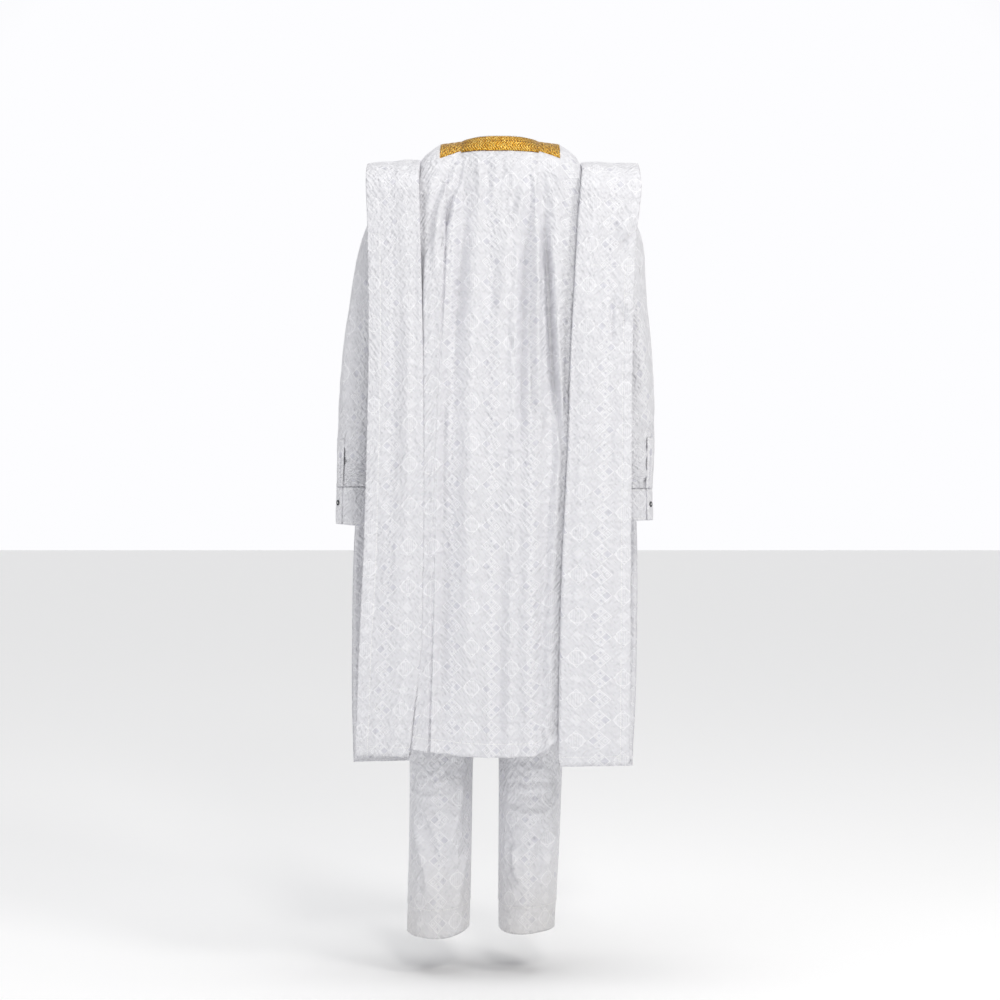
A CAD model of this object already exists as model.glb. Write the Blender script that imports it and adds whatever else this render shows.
import bmesh
import bpy
import math
import numpy as np
from mathutils import Matrix, Vector


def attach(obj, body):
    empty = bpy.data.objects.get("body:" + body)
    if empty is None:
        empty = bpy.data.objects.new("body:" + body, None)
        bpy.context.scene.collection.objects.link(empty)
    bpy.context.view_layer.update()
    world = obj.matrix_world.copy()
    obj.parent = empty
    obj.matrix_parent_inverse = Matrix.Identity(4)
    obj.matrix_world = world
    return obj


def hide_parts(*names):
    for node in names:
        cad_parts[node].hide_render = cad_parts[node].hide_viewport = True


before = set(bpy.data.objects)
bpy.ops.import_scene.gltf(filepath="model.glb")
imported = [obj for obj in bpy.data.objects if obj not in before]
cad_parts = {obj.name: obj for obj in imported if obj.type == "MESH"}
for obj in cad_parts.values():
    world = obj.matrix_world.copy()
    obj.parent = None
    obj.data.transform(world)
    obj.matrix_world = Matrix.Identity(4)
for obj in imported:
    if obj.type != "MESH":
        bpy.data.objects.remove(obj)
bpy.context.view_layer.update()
soles = 1608  # millimetres from the soles up to the frame's origin at the neck
mm = 0.001

# The camera comes first: level, behind the wearer.
view = {"lens": 66.46, "distance": 3600, "height": 915}
cameraData = bpy.data.cameras.new("camera")
cameraData.lens = view["lens"]
cameraData.sensor_width = 36
cameraData.clip_end = 50
camera = bpy.data.objects.new("camera", cameraData)
camera.location = (0, -view["distance"] * mm, (view["height"] - soles) * mm)
camera.rotation_euler = (math.radians(90), 0, 0)
bpy.context.scene.collection.objects.link(camera)
bpy.context.scene.camera = camera


def mix(a, b, t):
    return a + (b - a) * t


def smooth(t):
    t = np.clip(t, 0, 1)
    return t * t * (3 - 2 * t)


def readCurve(table, column, at, key="z"):  # a column of a table, on a smooth curve through its rows
    k, v = np.asarray(table[key], float), np.asarray(table[column], float)
    i = np.clip(np.searchsorted(k, at, "left") - 1, 0, len(k) - 2)
    before, after = np.maximum(i - 1, 0), np.minimum(i + 2, len(k) - 1)
    span = k[i + 1] - k[i]
    t = np.clip((at - k[i]) / span, 0, 1)
    slopeA = (v[i + 1] - v[before]) / (k[i + 1] - k[before]) * span
    slopeB = (v[after] - v[i]) / (k[after] - k[i]) * span
    t2, t3 = t * t, t * t * t
    return ((2 * t3 - 3 * t2 + 1) * v[i] + (t3 - 2 * t2 + t) * slopeA
            + (3 * t2 - 2 * t3) * v[i + 1] + (t3 - t2) * slopeB)


waves = 7  # how many waves make up a swell


def swells(x, z, size, seed):  # soft uneven waves, a few times size across
    wave = np.random.default_rng(seed)
    total = 0
    for _ in range(waves):
        angle, phase = wave.uniform(0, math.tau, 2)
        length = size * wave.uniform(0.7, 1.9)
        total = total + np.sin((x * math.cos(angle) + z * math.sin(angle)) * math.tau / length + phase)
    return total / (waves / 2)


def creaseOut(creases, x, z):  # how far placed creases push the cloth out; each fades at its ends
    total = np.zeros_like(x)
    for crease in creases:
        path = np.asarray(crease["path"], float)
        left, right = crease["wide"]
        reach = 3 * max(left, right)
        low, high = path.min(0) - reach, path.max(0) + reach
        close = np.flatnonzero((x > low[0]) & (x < high[0]) & (z > low[1]) & (z < high[1]))
        if not len(close):
            continue
        px, pz = x[close], z[close]
        steps = np.diff(path, axis=0)
        lengths = np.maximum(np.linalg.norm(steps, axis=1), 1e-6)
        starts = np.concatenate([[0], np.cumsum(lengths)])
        best, turned, along = np.full(len(close), 1e9), np.zeros(len(close)), np.zeros(len(close))
        for (ax, az), (sx, sz), length, start in zip(path[:-1], steps, lengths, starts):
            t = np.clip(((px - ax) * sx + (pz - az) * sz) / length**2, 0, 1)
            away = np.hypot(px - ax - t * sx, pz - az - t * sz)
            near = away < best
            best = np.where(near, away, best)
            turned = np.where(near, sx * (pz - az) - sz * (px - ax), turned)
            along = np.where(near, start + t * length, along)
        # a path runs down the cloth, so the side on which turned is negative is its left
        cross = np.exp(-((best / np.where(turned < 0, left, right)) ** 2))
        ends = np.minimum(along, starts[-1] - along) / (crease.get("fade", 0.25) * starts[-1])
        total[close] += crease["out"] * cross * smooth(ends + crease.get("open", 0))
    return total


crumple = {"long": (14, 52), "bend": 0.35, "left": (2.4, 5), "right": (2.4, 7), "fade": 0.45}


def crumples(count, low, high, depth, seed):  # short creases that starched cloth keeps
    pick = np.random.default_rng(seed)
    made = []
    for _ in range(count):
        x, z = pick.uniform(low[0], high[0]), pick.uniform(low[1], high[1])
        angle, length = pick.uniform(0, math.pi), pick.uniform(*crumple["long"])
        bend = pick.uniform(-crumple["bend"], crumple["bend"])
        dx, dz = math.sin(angle) * length, -abs(math.cos(angle)) * length
        bent = (x + dx / 2 + dz * bend, z + dz / 2 - dx * bend)
        made.append({
            "path": [(x, z), bent, (x + dx, z + dz)], "fade": crumple["fade"],
            "out": depth * pick.choice([-1, 1]) * pick.uniform(0.4, 1),
            "wide": (pick.uniform(*crumple["left"]), pick.uniform(*crumple["right"])),
        })
    return made


def tableOf(columns, rows):  # rows with named columns; the last column may be left out
    return [dict(zip(columns, row)) for row in rows]


# Creases placed by hand: millimetres out, width to either side, the path in x and z, how open its ends are.
creaseColumns = ("out", "wide", "path", "open")


def stopsOf(share, stops):  # an even share from 0 to 1 read as a place on a list of stops
    return np.interp(share * (len(stops) - 1), np.arange(len(stops)), stops)


def finishPiece(piece, nodes):
    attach(piece, "root")
    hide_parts(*nodes)
    return piece


def makeCloth(name, nodes, surface, columns, rows, wall, material, joined=False,
              keep=None):  # a sheet of cloth on surface(u, v), thickened inwards
    bm = bmesh.new()
    bmesh.ops.create_grid(bm, x_segments=columns, y_segments=rows, size=1)
    origin = bm.verts.layers.int.new("origin")
    share = np.array([tuple(v.co) for v in bm.verts])[:, :2] / 2 + 0.5
    u, v = np.round(share[:, 0], 6), np.round(share[:, 1], 6)
    points, cloth, stitch = surface(u, v)
    for i, (vert, point) in enumerate(zip(bm.verts, (points - [0, 0, soles]) * mm)):
        vert.co = point
        vert[origin] = i
    if keep is not None:
        kept = keep(u, v)
        cut = [face for face in bm.faces if not all(kept[vert[origin]] for vert in face.verts)]
        bmesh.ops.delete(bm, geom=cut, context="FACES")
    place, seam = bm.loops.layers.uv.new("cloth"), bm.loops.layers.uv.new("stitching")
    for face in bm.faces:
        face.smooth = True
        for loop in face.loops:
            i = loop.vert[origin]
            loop[place].uv = cloth[i]
            loop[seam].uv = stitch[i]
    bm.verts.layers.int.remove(origin)
    if joined:
        bmesh.ops.remove_doubles(bm, verts=bm.verts, dist=2e-6)
    mesh = bpy.data.meshes.new(name)
    bm.to_mesh(mesh)
    bm.free()
    mesh.materials.append(material)
    piece = bpy.data.objects.new(name, mesh)
    bpy.context.scene.collection.objects.link(piece)
    thick = piece.modifiers.new("thickness", "SOLIDIFY")
    thick.thickness = wall * mm
    thick.offset = -1
    return finishPiece(piece, nodes)


def pairOf(a, b):
    return np.stack([a + np.zeros_like(b), b + np.zeros_like(a)], axis=-1)


noStitch = 99.0  # far from any line of stitching


def hemStitch(run, height, away):  # cloth near a line of stitching, height up from the edge
    return pairOf(run, np.clip(height - away, -noStitch, noStitch))


sewnHem = {"band": 0.9, "groove": 0.7, "grooveWide": 1.6, "pucker": 0.6, "puckerLong": 22, "puckerReach": 7}


def hemRelief(run, fromStitch, seed):  # a turned hem is thicker below its stitching, which puckers it
    band = sewnHem["band"] * smooth((1.5 - fromStitch) / 3)
    groove = -sewnHem["groove"] * np.exp(-((fromStitch / sewnHem["grooveWide"]) ** 2))
    pucker = swells(run * 2.2, 0 * run, sewnHem["puckerLong"], seed) * sewnHem["pucker"]
    return band + groove + pucker * np.exp(-np.abs(fromStitch) / sewnHem["puckerReach"])


# The robe: one wide cloth over the shoulders, its sides folded up as sleeves.
robe = {
    "wall": 1.6, "yoke": 1480, "neckHalf": 73, "neckBack": 78, "neckCurve": 0.75,
    "taper": 0.14, "taperAt": 270, "taperPower": 2.4, "shelf": 1549, "foldRise": 9.5,
    "seamInset": 30, "vDepth": 172, "backHem": 433, "frontHem": 392, "hemRise": 0.0006,
    "hemLiftFrom": 62, "hemLiftOver": 50, "hemLift": 24, "edgeBeyond": 6, "topBeyond": 2, "columnHeight": 1580,
    "hemTurn": 25, "trimTaper": 130, "trimDrop": 280, "trimRow": 0.5, "hemZone": 60, "clothMiddle": (-16, 21),
    "foldHem": 430, "foldHemTurn": 18, "edgeCurl": 46, "curlDepth": 7, "swells": 0.9, "foldSwells": 0.8,
    "wave": (55, 0.6), "foldWave": 50,
}
robeLevels = {
    "z": [380, 600, 800, 1000, 1250, 1400, 1480],
    "back": [150, 149, 146, 142, 135, 128, 118],
    "front": [156, 150, 144, 138, 130, 124, 112],
}
foldLevels = {
    "z": [430, 500, 620, 800, 1000, 1200, 1400, 1500, 1570],
    "leftIn": [-166, -160, -146, -142, -141, -143, -148, -151, -152],
    "leftOut": [-273, -269, -265, -257, -251, -248, -250, -254, -257],
    "rightIn": [108, 108, 110, 115, 125, 132, 143, 150, 155],
    "rightOut": [244, 244, 245, 246, 248, 250, 257, 268, 269],
    "farLeft": [-298, -300, -300, -297, -285, -270, -258, -256, -257],
    "farRight": [271, 275, 278, 279, 273, 264, 262, 268, 269],
}
ridge = {"x": [0, 73, 119, 136, 150, 157, 170, 300], "z": [1608, 1610, 1604, 1592, 1579, 1560, 1549, 1547]}

# Fold lines down each centre panel: where a line runs at each height, and how far it stands out.
backHeights = [430, 700, 1000, 1300, 1480, 1535, 1578]
backFolds = [
    ([-164, -143, -141, -142, -135, -128, -119], [14, 15, 16, 14, 8, 2, 0]),
    ([-135, -128, -122, -108, -102, -102, -96], [14, 15, 16, 15, 9, 2, 0]),
    ([-133, -126, -120, -106, -100, -99, -93], [3, 3, 3, 1, -1, -1, 0]),
    ([-129, -122, -116, -102, -96, -94, -88], [8, 8, 7, 4, 0, -1, 0]),
    ([-117, -110, -104, -92, -86, -80, -73], [0, 0, 1, 5, 6, 3, 0]),
    ([-104, -97, -90, -80, -72, -66, -58], [-3, -4, -5, -8, -5, -2, 0]),
    ([-70, -63, -57, -49, -42, -40, -38], [2, 2, 3, 4, 4, 2, 0]),
    ([-37, -30, -25, -22, -26, -23, -20], [-1, 0, 0, -2, -2, 0, 0]),
    ([-22, -13, -4, -5, -4, -3, -2], [3, 1, 2, 3, 3, 1, 0]),
    ([-4, 4, 13, 13, 22, 20, 18], [-4, -2, -1, -4, -3, 0, 0]),
    ([15, 22, 27, 28, 43, 40, 34], [1, 1, 2, 2, 4, 1, 0]),
    ([34, 37, 38, 42, 58, 55, 50], [-1, -2, -4, -8, -4, -1, 0]),
    ([52, 56, 64, 68, 67, 64, 60], [2, 1, 3, 7, 6, 3, 0]),
    ([74, 80, 98, 91, 81, 78, 73], [-2, -2, -9, -11, -8, -3, 0]),
    ([91, 97, 112, 112, 104, 101, 96], [2, 2, 3, 7, 5, 2, 0]),
    ([108, 112, 122, 128, 128, 124, 119], [0, 0, 0, 0, 0, 0, 0]),
]
frontHeights = [430, 700, 1000, 1200, 1330, 1480]
frontFolds = [
    ([-150, -142, -138, -134, -128, -119], [0, -2, -3, -4, -3, 0]),
    ([-132, -126, -120, -114, -106, -96], [4, 5, 6, 7, 6, 0]),
    ([-108, -102, -98, -92, -84, -73], [-3, -4, -6, -7, -4, 0]),
    ([-76, -72, -68, -64, -56, -50], [2, 3, 3, 4, 2, 0]),
    ([-44, -40, -36, -32, -27, -25], [-3, -3, -4, -3, 0, 0]),
    ([-8, -4, 0, 0, 0, 0], [3, 3, 3, 3, 0, 0]),
    ([30, 34, 35, 32, 27, 25], [-3, -4, -4, -4, 0, 0]),
    ([56, 60, 62, 60, 55, 50], [2, 3, 4, 5, 2, 0]),
    ([78, 82, 86, 86, 82, 73], [-3, -3, -6, -8, -4, 0]),
    ([98, 102, 108, 110, 106, 96], [2, 3, 5, 6, 6, 0]),
    ([114, 118, 122, 126, 126, 119], [0, 0, 0, 0, 0, 0]),
]

backCreases = tableOf(creaseColumns, [
    (-9.5, (9, 5), [(-84, 1559), (-107, 1518), (-122, 1476), (-130, 1447), (-135, 1360)]),  # pleat mouth, left
    (5.4, (5, 7), [(-77, 1559), (-95, 1518), (-112, 1469), (-120, 1402), (-122, 1308)]),  # lip beside it
    (-12.2, (6, 4), [(-70, 1564), (-80, 1512), (-94, 1476), (-105, 1428), (-109, 1400),
        (-105, 1357)]),  # gathered fold from the neck
    (3, (6, 3), [(-69, 1540), (-73, 1510), (-82, 1475), (-94, 1428), (-100, 1364), (-102, 1310), (-107, 1256),
        (-112, 1179), (-118, 1067), (-124, 878), (-125, 765), (-132, 599), (-134, 443)], 0.3),  # pleat edge
    (-12.2, (8, 13), [(-71, 1514), (-66, 1465), (-69, 1411), (-75, 1364), (-80, 1302), (-88, 1241), (-95, 1194),
        (-101, 1132), (-109, 1055), (-110, 915), (-109, 728), (-114, 578),
        (-120, 456)], 0.2),  # valley beside the pleat
    (4.1, (5, 7), [(-41, 1568), (-39, 1523), (-37, 1448)]),  # gather
    (-3.4, (4, 5), [(-24, 1568), (-24, 1542), (-22, 1495)]),
    (3.4, (5, 5), [(-7, 1568), (-9, 1533), (-15, 1467)]),
    (-2.7, (4, 4), [(9, 1568), (6, 1540), (0, 1505)]),
    (3.4, (4, 6), [(26, 1568), (24, 1523), (15, 1448)]),
    (-6.8, (12, 16), [(-6, 1374), (-13, 1317), (-19, 1252)]),  # soft hollow
    (8.1, (12, 9), [(62, 1529), (36, 1467), (15, 1420), (9, 1334), (6, 1233)]),  # slanting swell
    (-9.5, (9, 8), [(58, 1495), (47, 1402), (43, 1241), (39, 1117), (36, 971)]),  # hollow beside it
    (-6.8, (3, 2.6), [(56, 1383), (58, 1272), (59, 1211), (60, 1100), (62, 1009)]),  # sharp crease
    (8.1, (6, 5), [(77, 1471), (71, 1364), (71, 1233), (75, 1102), (84, 1009)]),  # lit face
    (-20.2, (5, 5), [(81, 1471), (90, 1364), (94, 1272), (100, 1164), (110, 1067), (118, 990)]),  # deep valley
    (8.1, (3, 7), [(88, 1476), (99, 1360), (106, 1233), (114, 1121), (120, 1046)]),  # its lip
    (-4.1, (4, 4), [(112, 1548), (129, 1508), (142, 1484)]),  # fan from the shoulder
    (3.4, (4, 4), [(101, 1546), (118, 1503), (137, 1450)]),
    (-2.7, (4, 4), [(92, 1542), (107, 1486), (124, 1411)]),
    (-3.4, (3, 3), [(13, 1241), (22, 1205), (30, 1173)]),  # short crease
    (2.7, (3, 3), [(32, 1233), (24, 1196), (21, 1162)]),
    (-2.7, (2.5, 3), [(-39, 1089), (-26, 1078), (-15, 1065)]),
    (-2.7, (2.5, 3), [(47, 728), (62, 705), (79, 677)]),
    (5.4, (22, 22), [(-56, 1046), (-60, 878), (-56, 690), (-52, 541)]),  # low swell
    (-6.8, (12, 12), [(2, 831), (-2, 653), (-2, 456)], 0.3),  # low hollow
    (5.4, (20, 20), [(56, 971), (52, 803), (49, 634), (45, 466)]),  # low swell
    (-5.4, (9, 9), [(90, 971), (88, 803), (80, 634), (77, 475)]),  # right hollow
    (-0.9, (2.5, 2.5), [(-116, 672), (-37, 675), (37, 677), (105, 674)], 0.5),  # pressed line
    (0.7, (2.5, 2.5), [(-116, 732), (-56, 730), (0, 732)]),
    (0.7, (2.5, 3), [(-120, 518), (-47, 514), (37, 516)]),
    (8.1, (5, 9), [(84, 443), (97, 458), (110, 468)], 1),  # hem flap
    (4.1, (12, 14), [(-71, 1065), (-41, 971), (-26, 878)]),  # shallow diagonal
    (-4.1, (12, 12), [(22, 1065), (0, 971), (-15, 859)]),
])
leftTopCreases = tableOf(creaseColumns, [
    (4.3, (14, 12), [(-160, 1307), (-166, 1176), (-170, 1046), (-172, 915)]),  # long ridge
    (-3.5, (12, 14), [(-194, 1316), (-198, 1176), (-203, 1046), (-209, 878), (-214, 654)], 0.2),  # hollow beside it
    (-4.9, (8, 10), [(-226, 915), (-229, 784), (-235, 654)]),  # hollow by the hem
    (3.5, (16, 16), [(-190, 878), (-194, 729), (-200, 561)]),  # swell
    (-2.2, (6, 5), [(-155, 1418), (-157, 1232), (-162, 1008)], 0.5),  # inner hollow
    (-1.1, (2.5, 2.5), [(-216, 661), (-179, 660), (-138, 663)]),  # pressed line
    (0.9, (2.5, 3), [(-194, 902), (-166, 900), (-138, 902)]),
    (-0.8, (2, 2.5), [(-183, 1128), (-166, 1126), (-149, 1128)]),
    (2.7, (9, 12), [(-224, 1482), (-201, 1502), (-177, 1530)]),  # slanting
    (-3.0, (4, 6), [(-190, 1519), (-172, 1534), (-157, 1549)]),
])
rightTopCreases = tableOf(creaseColumns, [
    (6.1, (6, 7), [(227, 1415), (239, 1433), (257, 1448)], 0.5),  # buckled edge
    (-9.5, (6, 6), [(220, 1389), (235, 1407), (257, 1426)], 0.4),  # beside it
    (4.7, (7, 7), [(200, 1359), (218, 1394), (231, 1430)]),  # slanting
    (-3.4, (8, 8), [(183, 1366), (198, 1400), (216, 1441)]),
    (-6.8, (3.5, 5), [(209, 1303), (207, 1254), (206, 1198)]),  # long crease
    (4.6, (8, 7), [(200, 1307), (196, 1251), (192, 1191)]),  # beside it
    (-6.8, (4, 5), [(211, 1290), (224, 1271), (235, 1243)]),  # knee
    (5.4, (4, 5), [(220, 1295), (235, 1279), (248, 1254)]),
    (-1.6, (2.5, 2.5), [(224, 1145), (239, 1146), (252, 1148)], 0.6),  # pressed line
    (-1.5, (2.5, 3), [(145, 1014), (186, 1006), (239, 1004)]),
    (-1.4, (2.5, 2.5), [(224, 1300), (239, 1300), (252, 1301)], 0.6),
    (-1.2, (2.5, 2.5), [(224, 1057), (239, 1057), (250, 1057)], 0.6),
    (4.3, (15, 16), [(179, 1288), (172, 1101), (168, 952)]),  # swell
    (-3.2, (8, 10), [(140, 1288), (136, 1101), (132, 878), (129, 654)], 0.3),  # hollow
    (-3.2, (12, 10), [(209, 1139), (207, 1027), (205, 878)]),  # hollow by the hem
    (3.5, (3, 3), [(112, 691), (119, 702), (129, 693)]),  # knot
    (-3.2, (3, 3), [(112, 710), (121, 717), (134, 706)]),
    (3.5, (18, 18), [(186, 840), (190, 691), (186, 542)]),  # swell
])
frontCreases = tableOf(creaseColumns, [
    (-8, (8, 6), [(-78, 1560), (-92, 1500), (-104, 1400), (-110, 1250)]),
    (5, (6, 10), [(-60, 1500), (-70, 1420), (-82, 1300), (-88, 1150), (-92, 950)]),
    (-6, (9, 8), [(-40, 1440), (-50, 1340), (-58, 1200), (-60, 1000)]),
    (5, (9, 14), [(6, 1425), (4, 1330), (-6, 1180), (-4, 960), (-2, 700)]),
    (-7, (6, 8), [(26, 1430), (34, 1350), (36, 1220), (34, 1050)]),
    (-10, (5, 6), [(60, 1490), (72, 1400), (84, 1260), (90, 1100), (92, 900)]),
    (5, (4, 8), [(70, 1500), (82, 1400), (94, 1280), (101, 1120)]),
    (-4, (6, 5), [(84, 1560), (100, 1490), (112, 1400), (116, 1280)]),
    (-0.9, (3, 3), [(-120, 700), (-60, 704), (10, 702), (90, 704)]),
    (4, (20, 22), [(-40, 900), (-30, 700), (-34, 480)]),
    (-4, (14, 16), [(40, 880), (46, 690), (40, 470)], 0.2),
    (-5, (12, 12), [(-96, 800), (-92, 640), (-98, 460)], 0.2),
    (4, (14, 16), [(80, 760), (76, 600), (72, 450)]),
])
farLeftCreases = tableOf(creaseColumns, [
    (3, (12, 14), [(-160, 1430), (-166, 1250), (-170, 1000), (-176, 760)]),
    (-3, (14, 12), [(-196, 1380), (-205, 1160), (-212, 900)], 0.2),
    (3, (16, 14), [(-240, 1000), (-250, 800), (-262, 560)]),
    (-1.1, (3, 3), [(-170, 812), (-210, 815), (-262, 812)]),
    (-2.5, (7, 8), [(-180, 1500), (-196, 1470), (-214, 1420)]),
])
farRightCreases = tableOf(creaseColumns, [
    (3, (14, 12), [(150, 1440), (148, 1260), (142, 1000), (138, 780)]),
    (-3, (13, 14), [(190, 1400), (196, 1180), (200, 900)], 0.2),
    (3, (14, 16), [(232, 1010), (240, 800), (244, 560)]),
    (-1.1, (3, 3), [(130, 900), (180, 903), (236, 900)]),
    (2.5, (8, 7), [(170, 1520), (196, 1476), (212, 1410)]),
])
backCreases += crumples(190, (-135, 450), (112, 1440), 1.7, 3)
frontCreases += crumples(130, (-135, 420), (112, 1400), 1.6, 4)
leftTopCreases += crumples(110, (-262, 450), (-150, 1480), 1.5, 5)
rightTopCreases += crumples(150, (118, 440), (250, 1500), 1.8, 6)
farLeftCreases += crumples(80, (-285, 400), (-150, 1480), 1.4, 7)
farRightCreases += crumples(80, (118, 400), (262, 1500), 1.4, 8)


def ridgeHeight(x):
    return np.interp(np.abs(x), ridge["x"], ridge["z"])


def shelfHeight(x):
    return robe["shelf"] + np.where(x < 0, 8, 3) * np.clip((258 - np.abs(x)) / 105, 0, 1)


def robeBase(side, x, down, hem, ridgeOf):  # down is 0 on the ridge, 1 past the shoulder, 2 at the hem
    z = mix(robe["yoke"], hem, np.maximum(down - 1, 0))
    depth = np.where(side < 0, readCurve(robeLevels, "back", z), readCurve(robeLevels, "front", z))
    depth = depth * (1 - robe["taper"] * (np.abs(x) / robe["taperAt"]) ** robe["taperPower"])
    turn = np.minimum(down, 1) * math.pi / 2
    neck = -robe["neckBack"] * np.maximum(0, 1 - (x / robe["neckHalf"]) ** 2) ** robe["neckCurve"]
    y = np.where(down > 1, depth * side, mix(np.where(side < 0, neck, 0), depth * side, np.sin(turn)))
    z = np.where(down > 1, z, mix(robe["yoke"], ridgeOf(x), np.cos(turn)))
    return np.stack([x, y, z], axis=-1)


def robeRaised(side, x, down, hem, out, ridgeOf=ridgeHeight):  # base cloth moved out along its face
    step = 1e-3
    low, high = np.clip(down - step, 0, 2), np.clip(down + step, 0, 2)
    sideways = robeBase(side, x + step, down, hem, ridgeOf) - robeBase(side, x - step, down, hem, ridgeOf)
    upwards = robeBase(side, x, low, hem, ridgeOf) - robeBase(side, x, high, hem, ridgeOf)
    face = np.cross(sideways, upwards)
    face /= np.linalg.norm(face, axis=-1, keepdims=True)
    return robeBase(side, x, down, hem, ridgeOf) - face * (side * out)[..., None]


def levelOf(side, down):
    low = mix(robe["yoke"], np.where(side < 0, robe["backHem"], robe["frontHem"]), down - 1)
    return np.where(down <= 1, mix(robe["yoke"], soles, np.cos(down * math.pi / 2)), low)


def robeHem(side, x):
    lifted = robe["hemLift"] * smooth((x - robe["hemLiftFrom"]) / robe["hemLiftOver"])
    return np.where(side < 0, robe["backHem"] + robe["hemRise"] * x**2 + lifted, robe["frontHem"])


def fallOf(x, down, hem, ridgeOf=ridgeHeight):  # the cloth's own length from the ridge down
    cap = 0.5 * math.pi * 0.5 * (ridgeOf(x) - robe["yoke"] + 112)
    return np.where(down <= 1, cap * down, cap + (down - 1) * (robe["yoke"] - hem))


def foldedOuter(side, hand, level):
    near, far = ("leftOut", "farLeft") if hand < 0 else ("rightOut", "farRight")
    edge = np.where(side < 0, readCurve(foldLevels, near, level), readCurve(foldLevels, far, level))
    return edge - hand * robe["edgeBeyond"]


def foldedInner(hand, level):
    return readCurve(foldLevels, "leftIn" if hand < 0 else "rightIn", level)


def panelPlace(side, folds, heights, u, level):  # u counts fold lines, and runs 2 past either end
    last = len(folds) - 1
    lines = np.array([np.interp(level, heights, row[0]) for row in folds])
    outs = np.array([np.interp(level, heights, row[1]) for row in folds])
    i = np.clip(np.floor(u), 0, last - 1).astype(int)
    t = np.clip(u - i, 0, 1)
    take = lambda grid, k: np.take_along_axis(grid, k[None], 0)[0]
    x = mix(take(lines, i), take(lines, i + 1), t)
    out = mix(take(outs, i), take(outs, i + 1), smooth(t))
    hand = np.where(u < 0, -1, 1)
    share = np.maximum(np.maximum(-u, u - last), 0) / 2
    outerEdge = np.where(u < 0, foldedOuter(side, -1, level), foldedOuter(side, 1, level))
    x = np.where(share > 0, mix(x, outerEdge - hand * robe["seamInset"], share), x)
    return x, out * np.maximum(0, 1 - 10 * share)


def evenColumns(folds, between, flat):
    last = len(folds) - 1
    side = list(np.linspace(0, 2, flat + 1)[1:])
    return [-s for s in side[::-1]] + list(np.linspace(0, last, last * between + 1)) + [last + s for s in side]


backColumns = evenColumns(backFolds, 8, 16)
backRows = list(np.linspace(2, 1, 271)) + list(np.linspace(1, 0, 29)[1:])


def robeWaves(x, z, seed):
    size, squeeze = robe["wave"]
    return robe["swells"] * swells(x, z * squeeze, size, seed)


def backRelief(x, z, down):  # placed creases and soft waves, fading out at the neck seam
    fade = smooth((down - 0.1) / 0.5)
    return fade * (creaseOut(backCreases, x, z) + robeWaves(x, z, 1))


def robeBack(u, v):
    side = np.full_like(u, -1)
    down = stopsOf(v, backRows)
    x, out = panelPlace(side, backFolds, backHeights, stopsOf(u, backColumns), levelOf(side, down))
    hem = robeHem(side, x)
    z = robeBase(side, x, down, hem, ridgeHeight)[:, 2]
    height = (2 - down) * (robe["yoke"] - hem)
    out = out + backRelief(x, z, down)
    out = out + np.where(height < robe["hemZone"], hemRelief(x, height - robe["hemTurn"], 2), 0)
    points = robeRaised(side, x, down, hem, out)
    cloth = pairOf(x - robe["clothMiddle"][0], -fallOf(x, down, robe["backHem"]))
    return points, cloth, hemStitch(x, height, robe["hemTurn"])


def vEdge(x):
    return np.maximum(0, (1 - np.abs(x) / robe["neckHalf"]) * robe["vDepth"])


def trimEdge(x):
    return np.maximum(0, (1 - np.abs(x) / robe["trimTaper"]) * robe["trimDrop"])


def shareDown(x, fall, hem):
    cap = ridgeHeight(x) - robe["yoke"]
    return np.where(fall <= cap, np.arccos(np.clip(1 - fall / cap, -1, 1)) / (math.pi / 2),
                    1 + (fall - cap) / (robe["yoke"] - hem))


frontColumns = evenColumns(frontFolds, 8, 16)
frontRows = list(np.linspace(2, 0.5, 151)) + list(np.linspace(0.5, 0, 25)[1:])


def frontPlace(u, row):  # rows above trimRow are drawn between the V and the trim's outer edge
    side = np.ones_like(u)
    top, _ = panelPlace(side, frontFolds, frontHeights, u, robe["columnHeight"] + 0 * u)
    hem = robeHem(side, top)
    start = np.maximum(robe["trimRow"], shareDown(top, trimEdge(top), hem))
    edge = np.maximum(0, shareDown(top, vEdge(top), hem))
    above = mix(edge, start, row / robe["trimRow"])
    below = mix(start, 2, (row - robe["trimRow"]) / (2 - robe["trimRow"]))
    down = np.where(row < robe["trimRow"], above, below)
    x, out = panelPlace(side, frontFolds, frontHeights, u, levelOf(side, down))
    return side, np.where(row < robe["trimRow"], top, x), down, hem, np.where(row < robe["trimRow"], 0, out)


def robeFront(u, v):
    row = stopsOf(v, frontRows)
    side, x, down, hem, out = frontPlace(stopsOf(1 - u, frontColumns), row)
    z = robeBase(side, x, down, hem, ridgeHeight)[:, 2]
    fade = smooth((row - robe["trimRow"]) / 0.12)
    out = out + fade * (creaseOut(frontCreases, x, z) + robeWaves(x, z, 9))
    height = (2 - down) * (robe["yoke"] - hem)
    out = out + np.where(height < robe["hemZone"], hemRelief(x, height - robe["hemTurn"], 12), 0)
    points = robeRaised(side, x, down, hem, out)
    cloth = pairOf(robe["clothMiddle"][1] - x, -fallOf(x, down, robe["backHem"]))
    return points, cloth, hemStitch(x, height, robe["hemTurn"])


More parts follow.
